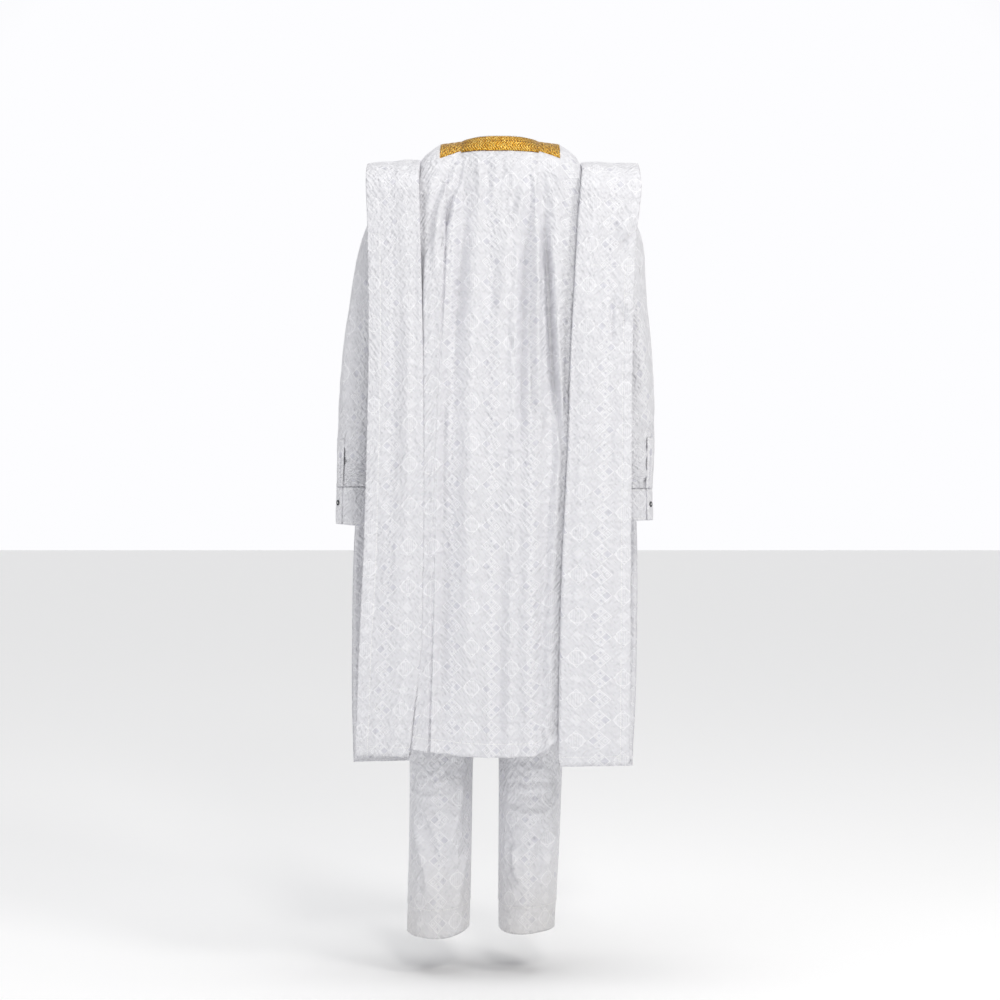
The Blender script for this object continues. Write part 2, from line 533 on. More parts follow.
# A folded sleeve in section, from its seam out and back in to the hemmed edge on top: share of the
# way from the inner fold to the outer, millimetres outward, layers up, and how many steps follow.
# Each fold in between is a half turn.
sectionMarks = [(1, -30, 0, 8)]
for share, way, layer in ((1, 1, 0), (0, -1, 1)):
    for t in np.linspace(0, 1, 7):
        steps = 22 if (layer == 0 and t == 1) else 1
        turn = t * math.pi
        dx = way * robe["foldRise"] / 2 * (math.sin(turn) - 1)
        sectionMarks.append((share, dx, layer + (1 - math.cos(turn)) / 2, steps))
sectionMarks[-1] = sectionMarks[-1][:3] + (12,)
sectionMarks += [(0.3, 0, 2.22, 10), (0.55, 0, 2.0, 10), (0.78, 0, 2.16, 12), (1, robe["topBeyond"], 2.02, 0)]
section = []
for mark, after in zip(sectionMarks[:-1], sectionMarks[1:]):
    for k in range(mark[3]):
        section.append([mix(mark[i], after[i], k / mark[3]) for i in range(3)])
section = np.array(section + [sectionMarks[-1][:3]], float)

foldedSleeves = {
    "Left": {"hand": -1, "hems": (436, 384), "top": leftTopCreases, "far": farLeftCreases,
             "nodes": ("folded_sleeve_left_back", "folded_sleeve_left_front"),
             "band": 23, "tacks": [(1413, 23), (1339, 23)]},
    "Right": {"hand": 1, "hems": (418, 376), "top": rightTopCreases, "far": farRightCreases,
              "nodes": ("folded_sleeve_right_back", "folded_sleeve_right_front"),
              "band": 18, "tacks": [(1354, 80), (1299, 18)]},
}
sleeveRows = [2 * s for s in np.linspace(-1, -0.5, 131)] + list(np.linspace(-1, 1, 61)[1:-1]) \
    + [2 * s for s in np.linspace(0.5, 1, 121)]


def foldedSleeve(facts):
    hand = facts["hand"]

    def surface(u, v):
        drape = stopsOf(v, sleeveRows)
        side, down = np.where(drape < 0, -1.0, 1.0), np.abs(drape)
        i = u if hand > 0 else 1 - u
        share, dx, layer = (stopsOf(i, section[:, k]) for k in range(3))
        level = levelOf(side, down)
        outer, inner = foldedOuter(side, hand, level), foldedInner(hand, level)
        x = mix(inner, outer, share) + hand * dx
        seamX = outer - hand * robe["seamInset"]
        ownHem = np.where(side < 0, facts["hems"][0], facts["hems"][1])
        hem = mix(robeHem(side, seamX), ownHem, np.clip(layer / 2, 0, 1))
        z = robeBase(side, x, down, hem, shelfHeight)[:, 2]
        onTop = smooth((layer - 1.7) / 0.3)
        folds = np.where(side < 0, creaseOut(facts["top"], x, z), creaseOut(facts["far"], x, z))
        out = layer * robe["foldRise"] + onTop * smooth((down - 0.05) / 0.4) * (
            folds + robe["foldSwells"] * swells(x, z * robe["wave"][1], robe["foldWave"], 20 + hand))
        height = (2 - down) * (robe["yoke"] - hem)
        curl = smooth(1 - height / robe["edgeCurl"]) ** 2
        out = out - onTop * robe["curlDepth"] * curl
        edge = (outer + hand * robe["topBeyond"] - x) * hand + np.where(layer < 1.5, 200, 0)
        fromEdge = edge - facts["band"]
        fromHem = np.where(layer < 1.9, noStitch, height - robe["foldHemTurn"])
        rows = [np.where((edge < reach + 5) & (side < 0), z - at, noStitch) for at, reach in facts["tacks"]]
        sideHem = np.where(onTop > 0.5, hemRelief(z, fromEdge, 31 + hand), 0)
        out = out + sideHem * smooth((down - 0.02) / 0.3)
        sewnEdge = np.where((z < facts["tacks"][0][0]) | (side > 0), fromEdge, noStitch)
        lines = np.stack([sewnEdge, fromHem, *rows])
        nearest = np.take_along_axis(lines, np.abs(lines).argmin(0)[None], 0)[0]
        across = np.interp(i, np.linspace(0, 1, len(section)), sectionRun) * hand
        points = robeRaised(side, x, down, hem, out, shelfHeight)
        length = fallOf(x, down, robe["foldHem"], shelfHeight)
        run = np.where(nearest == sewnEdge, z, x)
        return points, pairOf(across + 8 * hand, side * length), pairOf(run, nearest)

    return surface


sectionX = mix(-145, -255, section[:, 0]) - section[:, 1]
sectionSteps = np.hypot(np.diff(sectionX), np.diff(section[:, 2]) * robe["foldRise"])
sectionRun = np.concatenate([[0], np.cumsum(sectionSteps)])


# Gold braid round the neck.
braid = {
    "lift": 0.45, "wall": 1.4, "pitch": 6.2, "relief": 0.55, "backRows": (0.46, 0.09),
    "endAt": [73, 119], "endDown": [0.42, 0.53], "endLine": 4.8, "high": 26, "lean": 1.2, "plait": 5.2,
}


def braidRelief(along, across):  # rows of plaited thread, each leaning the other way from the last
    zigzag = np.abs(np.mod(across / braid["pitch"], 2) - 1) * braid["pitch"]
    return braid["relief"] * np.sin((along + braid["lean"] * zigzag) * math.tau / braid["plait"])


def neckBraidBack(u, v):
    x = mix(-robe["neckHalf"], robe["neckHalf"], u)
    side, down = np.full_like(u, -1), mix(*braid["backRows"], v)
    edge = np.minimum(np.minimum(v, 1 - v) * 30, 1)
    hem = robeHem(side, x)
    z = robeBase(side, x, down, hem, ridgeHeight)[:, 2]
    out = backRelief(x, z, down) + braid["lift"] + braid["wall"] * smooth(0.4 + 0.6 * edge) \
        + braidRelief(x, v * braid["high"]) * edge
    return robeRaised(side, x, down, hem, out), pairOf(x, v * braid["high"]), pairOf(x, noStitch + 0 * v)


sideBraidRows = list(np.linspace(0.5, 0, 41)) + list(np.linspace(0, -1, 25)[1:])  # below 0 is the back


def neckBraidSide(hand):
    def fromMiddle(u):
        return braid["endLine"] * ((1 - u) if hand > 0 else u)

    def surface(u, v):
        line = 5 + hand * fromMiddle(u)
        row = stopsOf(v, sideBraidRows)
        side, x, down, hem, _ = frontPlace(line, np.maximum(row, 0))
        back = row < 0
        side = np.where(back, -1.0, side)
        down = np.where(back, -row * np.interp(np.abs(x), braid["endAt"], braid["endDown"]), down)
        hem = np.where(back, robe["backHem"], hem)
        z = robeBase(side, x, down, hem, ridgeHeight)[:, 2]
        fall = np.where(back, row * braid["high"], ridgeHeight(x) - z)
        slope = math.hypot(robe["neckHalf"], robe["vDepth"])
        reach = robe["vDepth"] - fall
        along = (np.abs(x) * robe["neckHalf"] + reach * robe["vDepth"]) / slope
        across = (np.abs(x) * robe["vDepth"] - reach * robe["neckHalf"]) / slope
        edge = np.clip(np.minimum(np.where(back, row + 1, 1), 0.5 - np.maximum(row, 0)) * 20, 0, 1)
        out = np.where(back, backRelief(x, z, down), 0) + braid["lift"] \
            + braid["wall"] * smooth(0.4 + 0.6 * edge) + braidRelief(along, across) * edge
        return robeRaised(side, x, down, hem, out), pairOf(along, across), pairOf(along, noStitch + 0 * v)

    def keep(u, v):
        return (stopsOf(v, sideBraidRows) > -0.001) | (fromMiddle(u) > 2.95)

    return surface, keep


# The tunic under the robe.
tunic = {
    "wall": 1.6, "hem": 790, "armpit": 1395, "neckHalf": 66, "neckBack": 66, "neckFront": 70,
    "neckBackHeight": 1594, "neckFrontHeight": 1548, "shoulderAtNeck": 1604, "pointX": 197, "pointZ": 1515,
    "round": 9, "fullness": 2.5, "bandHeight": 21, "bandLap": 1.8, "hemTurn": 22,
    "armholeZ": 1455, "armholeHigh": 60, "armholeDeep": 72, "armholeGap": 0.3,
}
tunicLevels = {
    "z": [790, 930, 1060, 1250, 1395], "half": [192, 186, 174, 169, 176],
    "back": [126, 124, 112, 108, 110], "front": [122, 118, 110, 108, 110], "sway": [-20, -18, -12, -4, 0],
}
tunicCreases = tableOf(creaseColumns, [
    (4, (14, 18), [(-120, 1380), (-104, 1250), (-110, 1080), (-118, 860)]),
    (-4, (14, 16), [(-60, 1330), (-66, 1160), (-60, 980)]),
    (3, (18, 16), [(20, 1300), (12, 1120), (18, 900)]),
    (4, (16, 14), [(104, 1390), (98, 1240), (110, 1060), (108, 860)]),
    (-4, (8, 10), [(150, 1380), (120, 1330), (84, 1310)]),
    (-4, (10, 8), [(-152, 1385), (-124, 1336), (-88, 1318)]),
    (3, (8, 10), [(168, 1000), (110, 985), (60, 990)]),
    (3, (10, 8), [(-170, 1040), (-120, 1018), (-70, 1026)]),
])
tunicCreases += crumples(90, (-170, 800), (170, 1380), 1.5, 14)


def neckRound(share):
    return np.maximum(0, 1 - share**2) ** robe["neckCurve"]


def tunicBase(side, across, v):  # v is 0 at the hem, 1 at the armpit, 2 on the shoulder
    low = mix(tunic["hem"], tunic["armpit"], np.minimum(v, 1))
    full = np.maximum(0, 1 - np.abs(across) ** tunic["fullness"]) ** (1 / tunic["fullness"])
    depth = readCurve(tunicLevels, "back" if side < 0 else "front", low) * full
    body = np.stack([across * readCurve(tunicLevels, "half", low) + readCurve(tunicLevels, "sway", low),
                     side * depth, low], axis=-1)
    turn = np.maximum(v - 1, 0) * math.pi / 2
    edgeZ = mix(tunic["armpit"], tunic["pointZ"], np.sin(turn))
    armpitX = readCurve(tunicLevels, "half", np.array([tunic["armpit"]]))[0]
    x = across * mix(armpitX, tunic["pointX"], np.sin(turn))
    away = np.abs(x)
    rounding = neckRound(np.minimum(1, away / tunic["neckHalf"]))
    t = np.maximum(0, (away - tunic["neckHalf"]) / (tunic["pointX"] - tunic["neckHalf"]))
    topY = side * tunic["neckBack" if side < 0 else "neckFront"] * rounding
    neckZ = mix(tunic["shoulderAtNeck"], tunic["neckBackHeight" if side < 0 else "neckFrontHeight"], rounding)
    shoulderZ = mix(tunic["shoulderAtNeck"], tunic["pointZ"], t) + tunic["round"] * np.sin(math.pi * t)
    topZ = np.where(away < tunic["neckHalf"], neckZ, shoulderZ)
    loop = np.sqrt(np.maximum(0, 1 - ((edgeZ - tunic["armholeZ"]) / tunic["armholeHigh"]) ** 2))
    y = mix(side * depth, topY, 1 - np.cos(turn)) + side * tunic["armholeDeep"] * loop * np.abs(across) ** 8
    yoke = np.stack([x, y, mix(tunic["armpit"], topZ, np.sin(turn))], axis=-1)
    return np.where((v <= 1)[:, None], body, yoke)


def pushed(base, out, facing):  # points moved out along the face of a surface given by base(a, b)
    def place(a, b):
        step = 2e-3
        n = np.cross(base(a + step, b) - base(a - step, b), base(a, b + step) - base(a, b - step))
        n /= np.maximum(np.linalg.norm(n, axis=-1, keepdims=True), 1e-9)
        return base(a, b) + n * (facing * out(a, b))[:, None]

    return place


tunicAcross = [-1, -0.99, -0.97] + list(np.linspace(-0.94, 0.94, 61)) + [0.97, 0.99, 1]
tunicRows = list(np.linspace(0, 1, 71)) + list(np.linspace(1, 1.96, 33)[1:]) + [1.98, 2]


def tunicPanel(side):
    def surface(u, v):
        across, high = stopsOf(u, tunicAcross), stopsOf(v, tunicRows)
        base = lambda a, b: tunicBase(side, -side * np.clip(a, -1, 1), np.clip(b, 0, 2))
        start = base(across, high)
        x, z = start[:, 0], start[:, 2]
        calm = smooth((1 - np.abs(across)) / 0.12) * smooth((1.9 - high) / 0.4)
        out = calm * creaseOut(tunicCreases, x * (1 if side < 0 else -1), z)
        height = z - tunic["hem"]
        out = out + hemRelief(x, height - tunic["hemTurn"], 15) * np.where(height < 60, 1, 0)
        points = pushed(base, lambda a, b: out, 1)(across, high)
        return points, pairOf(-side * x, z), hemStitch(x, height, tunic["hemTurn"])

    return surface


def tunicNeckband(u, v):
    turn = u * math.tau
    share = np.cos(turn)
    side = np.where(np.sin(turn) < 0, -1, 1)
    rounding = neckRound(np.abs(share))
    depth = np.where(side < 0, tunic["neckBack"], tunic["neckFront"]) - 0.8
    middle = np.where(side < 0, tunic["neckBackHeight"], tunic["neckFrontHeight"])
    height = mix(tunic["shoulderAtNeck"], middle, rounding)
    lean = 1 - 0.015 * v
    points = np.stack([share * (tunic["neckHalf"] - 1.2) * lean, side * depth * rounding * lean,
                       height + v * tunic["bandHeight"] * (1 - 0.35 * share**4) - tunic["bandLap"]], axis=-1)
    run = u * 415
    fromStitch = np.minimum(v, 1 - v) * tunic["bandHeight"] - 3
    return points, pairOf(run, v * tunic["bandHeight"]), pairOf(run, -fromStitch)


placketCut = {"half": 17, "long": 300, "from": 0.8, "to": 1.985, "lift": 0.4, "thick": 1.6, "stitch": 4}


def tunicPlacket(u, v):
    half, sewnAt = placketCut["half"], placketCut["stitch"]
    rows = mix(placketCut["from"], placketCut["to"], v)
    base = lambda a, b: tunicBase(1, -a, np.clip(b, 0, 2))
    widest = readCurve(tunicLevels, "half", np.array([1300]))[0]
    across = mix(-half, half, u) / widest
    edge = np.minimum(np.minimum(u, 1 - u) * 2 * half, np.minimum(v, 1 - v) * placketCut["long"])
    groove = 0.5 * np.exp(-(((edge - sewnAt) / 1.2) ** 2))
    out = placketCut["lift"] + placketCut["thick"] * smooth(edge / 1.5) - groove
    points = pushed(base, lambda a, b: out, 1)(across, rows)
    return points, pairOf(mix(-half, half, u), points[:, 2]), pairOf(points[:, 2], edge - sewnAt)


# Its sleeves and cuffs.
leftSleeve = {
    "v": [0, 0.07, 0.15, 0.27, 0.42, 0.62, 0.85, 1], "x": [-186.5, -203, -217, -233, -248, -261, -270, -275],
    "y": [0, 0, 1, 3, 6, 10, 17, 20], "z": [1455, 1441, 1398, 1330, 1240, 1110, 985, 941],
    "turn": [80, 60, 32, 10, 5, 3, 0, 0], "across": [61, 61, 58, 54, 54, 53, 49, 44],
    "deep": [72, 70, 67, 64, 60, 57, 53, 48],
}
rightSleeve = {
    "v": [0, 0.07, 0.15, 0.27, 0.42, 0.62, 0.85, 1], "x": [186.5, 208, 226, 231, 240, 248, 252, 253],
    "y": [0, 0, 1, 3, 6, 10, 15, 18], "z": [1455, 1441, 1398, 1330, 1240, 1110, 990, 938],
    "turn": [80, 60, 32, 10, 5, 3, 0, 0], "across": [61, 61, 57, 53, 53, 53, 49, 44],
    "deep": [72, 70, 67, 64, 60, 57, 53, 48],
}
# Creases on a sleeve: degrees round it from the outside towards the back, and height.
leftArmCreases = tableOf(creaseColumns, [
    (-4, (12, 14), [(60, 1340), (62, 1240), (70, 1120), (76, 1010)]),
    (3, (12, 12), [(30, 1330), (34, 1200), (40, 1080)]),
    (3, (14, 16), [(110, 1300), (112, 1150), (104, 1000)]),
    (-3, (6, 8), [(20, 1090), (44, 1072), (72, 1066)]),
    (3, (7, 7), [(10, 1040), (36, 1022), (66, 1018)]),
    (-3, (6, 6), [(24, 1000), (46, 990), (70, 992)]),
    (-3, (7, 8), [(340, 1110), (320, 1080), (300, 1074)]),
    (4, (16, 16), [(250, 1320), (252, 1180), (246, 1020)]),
    (-4, (14, 14), [(200, 1340), (204, 1200), (210, 1060)]),
])
rightArmCreases = tableOf(creaseColumns, [
    (3, (12, 12), [(55, 1330), (58, 1220), (60, 1100)]),
    (-5, (6, 6), [(20, 1058), (44, 1052), (74, 1050)]),
    (4, (7, 6), [(16, 1072), (42, 1068), (72, 1070)]),
    (4, (5, 5), [(34, 976), (52, 966), (70, 952)]),
    (-3, (5, 5), [(30, 956), (50, 950), (66, 958)]),
    (-4, (12, 12), [(80, 1290), (84, 1180), (92, 1080)]),
    (3, (6, 8), [(14, 1010), (40, 1000), (70, 1008)]),
    (-3, (8, 7), [(300, 1060), (320, 1040), (344, 1036)]),
    (4, (16, 16), [(250, 1300), (248, 1160), (254, 1010)]),
    (-4, (14, 14), [(204, 1330), (200, 1180), (196, 1040)]),
])
underSlit = tableOf(creaseColumns, [(-9, (6, 6), [(40, 1030), (40, 950)])])
leftArmCreases += crumples(64, (0, 960), (360, 1380), 2.0, 16) + underSlit
rightArmCreases += crumples(74, (0, 950), (360, 1380), 2.0, 17) + underSlit
sleeve = {"gather": 1.6, "gathers": 17, "gatherReach": 26, "low": 480, "cloth": 560}
cuff = {"across": 43.5, "deep": 47, "wall": 1.9, "overlap": 28, "edgeAt": 45, "stitch": 4.5,
        "lapOver": 2.4, "lapUnder": 0.5, "flare": 1.2, "roll": 0.8, "rollWide": 2.5}
arms = {
    "Left": {"table": leftSleeve, "hand": -1, "creases": leftArmCreases, "high": 72, "droop": 8},
    "Right": {"table": rightSleeve, "hand": 1, "creases": rightArmCreases, "high": 62, "droop": 2},
}


def sleeveBase(table, hand, turn, v):
    at = lambda column: readCurve(table, column, v, "v")
    tilt = np.radians(at("turn"))
    reach = at("across") * np.cos(turn)
    return np.stack([at("x") + hand * (tunic["armholeGap"] + reach * np.cos(tilt)),
                     at("y") - at("deep") * np.sin(turn), at("z") + reach * np.sin(tilt)], axis=-1)


armRows = list(np.linspace(1, 0.25, 84)) + list(np.linspace(0.25, 0, 29)[1:])


def tunicSleeve(table, hand, creases):
    def surface(u, v):
        down = stopsOf(v, armRows)
        turn = -hand * u * math.tau
        base = lambda a, b: sleeveBase(table, hand, a, np.clip(b, 0, 1))
        height = readCurve(table, "z", down, "v")
        degrees = np.mod(np.degrees(turn), 360)
        calm = smooth(down / 0.12) * smooth((1 - down) / 0.03 + 0.2)
        fold = creaseOut(creases, degrees, height) + creaseOut(creases, degrees - 360, height)
        fromCuff = (1 - down) * sleeve["low"] / sleeve["gatherReach"]
        gather = sleeve["gather"] * np.cos(turn * sleeve["gathers"]) * np.exp(-(fromCuff**2))
        out = calm * (fold + swells(degrees * 0.9, height, 60, 18)) + gather
        points = pushed(base, lambda a, b: out, hand)(turn, down)
        girth = readCurve(table, "deep", down, "v") + readCurve(table, "across", down, "v")
        run = turn * girth / 2
        return points, pairOf(run, -down * sleeve["cloth"]), pairOf(run, noStitch + 0 * run)

    return surface


def cuffSurface(table, hand, high, droop):  # one strip round the wrist, its buttoned end on top
    whole = math.tau + cuff["overlap"] / cuff["across"]

    def surface(u, v):
        q = u * whole if hand > 0 else (1 - u) * whole
        turn = math.radians(cuff["edgeAt"]) - q
        lift = cuff["lapOver"] * (1 - smooth((q - 0.6) / 0.5))
        lift = lift - cuff["lapUnder"] * smooth((q - math.tau + 0.6) / 0.5)
        edge = np.minimum(v, 1 - v) * high
        side = np.minimum(u, 1 - u) * whole * cuff["across"]
        near = np.minimum(edge, side) - cuff["stitch"]
        roll = cuff["roll"] * np.exp(-((np.minimum(edge, side) / cuff["rollWide"]) ** 2))
        groove = 0.5 * np.exp(-((near / 1.3) ** 2))
        wide = lift + cuff["flare"] * (1 - v) - roll - groove + 0.5 * swells(turn * 40, v * 62, 50, 19)
        points = np.stack([
            table["x"][-1] + hand * (tunic["armholeGap"] + (cuff["across"] + wide) * np.cos(turn)),
            table["y"][-1] - (cuff["deep"] + wide) * np.sin(turn),
            table["z"][-1] - 0.3 - (high + droop * (1 - np.cos(turn)) / 2) * (1 - v)], axis=-1)
        run = u * whole * cuff["across"]
        return points, pairOf(run, v * high), pairOf(np.where(edge < side, run, v * high), -near)

    return surface


slit = {"wide": 18, "long": 100, "top": 0.755, "lift": 2.2, "thick": 1.2, "stitch": 3,
        "gapWide": 1.4, "gapDeep": 8}


def slitStrip(table, hand):  # the folded strip that finishes the slit above the cuff, dark gap in its middle
    def surface(u, v):
        down = mix(1, slit["top"], v)
        turn = np.radians(cuff["edgeAt"] - 5 - hand * mix(-11, 11, u))
        edge = np.minimum(np.minimum(u, 1 - u) * slit["wide"], np.minimum(v, 1 - v) * slit["long"])
        gap = np.exp(-(((u - 0.5) * slit["wide"] / slit["gapWide"]) ** 2))
        gap = gap * smooth((v - 0.1) / 0.1) * smooth((0.85 - v) / 0.1)
        groove = 0.5 * np.exp(-((edge - slit["stitch"]) ** 2))
        out = slit["lift"] + slit["thick"] * smooth(edge / 1.5) - groove - slit["gapDeep"] * gap
        base = lambda a, b: sleeveBase(table, hand, a, np.clip(b, 0, 1))
        points = pushed(base, lambda a, b: out, hand)(turn, down)
        run = v * slit["long"]
        return points, pairOf(u * slit["wide"], run), pairOf(run, edge - slit["stitch"])

    return surface


# The trousers.
trousers = {
    "wall": 1.6, "hem": 88, "legTop": 830, "crotch": 800, "rise": 110,
    "waist": 1042, "square": 0.8, "hemTurn": 50, "bandHigh": 36, "bandWall": 2.4,
}
leftLeg = {"z": [88, 260, 430, 640, 830], "x": [-120, -116, -114, -112, -110], "y": [-4, -5, -6, -6, -4],
           "across": [62, 61, 62.5, 73, 87.5], "deep": [66, 68, 71, 84, 98]}
rightLeg = {"z": [88, 260, 430, 640, 830], "x": [51.5, 56.5, 60, 64, 67], "y": [-4, -5, -6, -6, -4],
            "across": [55.5, 59.5, 63, 74, 87.5], "deep": [64, 67, 71, 84, 98]}
seatLevels = {"z": [800, 930, 1040, 1080], "half": [176, 183, 168, 165], "back": [104, 121, 102, 100],
              "front": [98, 115, 100, 98], "sway": [-21, -18, -12, -12]}
# How far the hem dips below its level, at each number of degrees round from the inseam.
legHems = {"at": [0, 40, 80, 120, 160, 180],
           "leftBack": [-5, 5, 12.5, 12, 10, 9], "leftFront": [-5, -5, -4, 0, 6, 9],
           "rightBack": [0, 5, 5, 1.5, 1, 2], "rightFront": [0, -2, -3, -3, 0, 2]}
# Creases by degrees round a leg, 0 on the inseam and 180 on the outseam, and by height.
legCreases = {
    "leftBack": tableOf(creaseColumns, [
        (-11, (13, 6), [(130, 352), (108, 306), (92, 262), (80, 212)]),
        (8, (6, 14), [(120, 352), (96, 300), (80, 250), (70, 200)]),
        (-12, (14, 7), [(146, 322), (128, 262), (112, 206), (108, 140)]),
        (-3.2, (3.5, 4), [(160, 356), (120, 348), (60, 354)], 0.3),
        (4, (4, 4), [(118, 372), (92, 384), (78, 396), (62, 422)]),
        (-5, (5, 9), [(40, 400), (50, 330), (70, 260), (86, 226)]),
        (-4.5, (4, 9), [(24, 250), (44, 190), (52, 130)]),
        (3, (8, 9), [(40, 380), (36, 300), (40, 200)]),
        (3.5, (10, 10), [(72, 220), (70, 160), (74, 120)]),
    ]),
    "rightBack": tableOf(creaseColumns, [
        (-7, (5, 6), [(150, 338), (118, 320), (92, 314), (40, 330)]),
        (6, (6, 5), [(128, 356), (92, 346), (60, 352)]),
        (-6, (5, 9), [(140, 318), (112, 276), (84, 250), (66, 240)]),
        (-9, (5, 7), [(58, 262), (60, 236), (66, 200), (84, 182)]),
        (8, (8, 12), [(130, 300), (108, 244), (88, 190)]),
        (-6, (6, 9), [(150, 290), (128, 230), (104, 172)]),
        (5, (4, 5), [(126, 372), (104, 378), (76, 372), (52, 380)]),
        (3, (9, 9), [(46, 300), (48, 230), (42, 150)]),
        (-7, (5, 6), [(112, 170), (96, 150), (72, 146), (56, 154)]),
        (-3, (7, 7), [(60, 410), (90, 400), (120, 404)]),
    ]),
    "leftFront": tableOf(creaseColumns, [
        (-5, (8, 9), [(60, 380), (90, 372), (124, 384)]),
        (5, (12, 12), [(130, 330), (106, 260), (90, 190)]),
        (-4, (11, 11), [(62, 300), (58, 220), (64, 140)]),
        (4, (14, 14), [(90, 640), (92, 520), (88, 440)]),
    ]),
    "rightFront": tableOf(creaseColumns, [
        (-5, (9, 8), [(56, 376), (88, 386), (120, 374)]),
        (5, (12, 12), [(60, 330), (76, 260), (92, 180)]),
        (-4, (11, 11), [(122, 300), (126, 220), (118, 140)]),
        (4, (14, 14), [(88, 640), (90, 520), (92, 440)]),
    ]),
}
for seed, creases in enumerate(legCreases.values()):
    creases += crumples(70, (8, 110), (168, 480), 2.0, 50 + seed)
legAcross = list(np.linspace(0, 1, 57))
legRows = list(np.linspace(0, 0.74, 151)) + list(np.linspace(0.74, 1, 27)[1:])


def trouserBase(table, hand, side, turn, z):
    at = lambda column: readCurve(table, column, np.minimum(z, trousers["legTop"]))
    leg = np.stack([at("x") - hand * at("across") * np.cos(turn),
                    at("y") + side * at("deep") * np.sin(turn), z], -1)
    seat = lambda column: readCurve(seatLevels, column, np.maximum(z, trousers["crotch"]))
    depth = seat("back" if side < 0 else "front") * np.maximum(0, np.cos(turn / 2)) ** trousers["square"]
    hip = np.stack([seat("sway") + hand * seat("half") * np.sin(turn / 2), side * depth, z], -1)
    climb = np.clip((z - trousers["crotch"]) / trousers["rise"], 0, 1)
    return mix(leg, hip, np.sqrt(1 - (1 - climb) ** 2)[:, None])


def trouserPanel(table, hand, side, creases, drops, seed):
    def surface(u, v):
        share, high = stopsOf(u, legAcross), stopsOf(v, legRows)
        z = mix(trousers["hem"], trousers["waist"], high)
        turn = (1 - share if hand * side > 0 else share) * math.pi
        base = lambda a, b: trouserBase(table, hand, side, a, b)
        degrees = np.degrees(turn)
        calm = smooth(np.sin(turn) * 3)
        height = z - trousers["hem"]
        fold = creaseOut(creases, degrees, z) + 0.7 * swells(degrees * 1.2, z * 0.7, 60, seed)
        out = calm * fold + hemRelief(degrees * 1.2, height - trousers["hemTurn"], seed) * (height < 90)
        facing = 1 if hand * side > 0 else -1
        points = pushed(base, lambda a, b: out, facing)(turn, z)
        points[:, 2] -= readCurve(dict(legHems, drop=drops), "drop", degrees, "at") * (1 - high) ** 8
        girth = readCurve(table, "across", np.minimum(z, trousers["legTop"]))
        run = (degrees - 90) / 180 * math.pi * girth * hand * side
        return points, pairOf(run, z), hemStitch(run, height, trousers["hemTurn"])

    return surface


def trousersWaistband(u, v):
    turn = u * math.tau
    z = trousers["waist"] + 0.3 + v * trousers["bandHigh"]
    side = np.where(np.sin(turn) < 0, -1, 1)
    seat = lambda column: readCurve(seatLevels, column, z)
    depth = np.where(side < 0, seat("back"), seat("front")) * np.abs(np.sin(turn)) ** trousers["square"]
    edge = np.minimum(v, 1 - v) * trousers["bandHigh"]
    out = 1 - 0.01 * np.exp(-((edge / 2) ** 2)) - 0.004 * (1 + np.sin(turn * 60)) * smooth(edge / 8)
    points = np.stack([seat("sway") + seat("half") * np.cos(turn) * out, side * depth * out, z], -1)
    return points, pairOf(turn * 165, z), pairOf(turn * 165, 6 - edge)


# Buttons: turned discs with a raised rim, each sewn on with two strands.
button = {"radius": 5.6, "rim": 1.1, "dish": 0.7, "thick": 2.2, "holeAt": 1.5, "thread": 0.42}


def nodeFrame(node):  # a flat node's middle, and the way its thin side faces
    co = np.array([v.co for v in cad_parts[node].data.vertices])
    middle = (co.min(0) + co.max(0)) / 2
    return middle, np.linalg.svd(co - co.mean(0))[2][2]


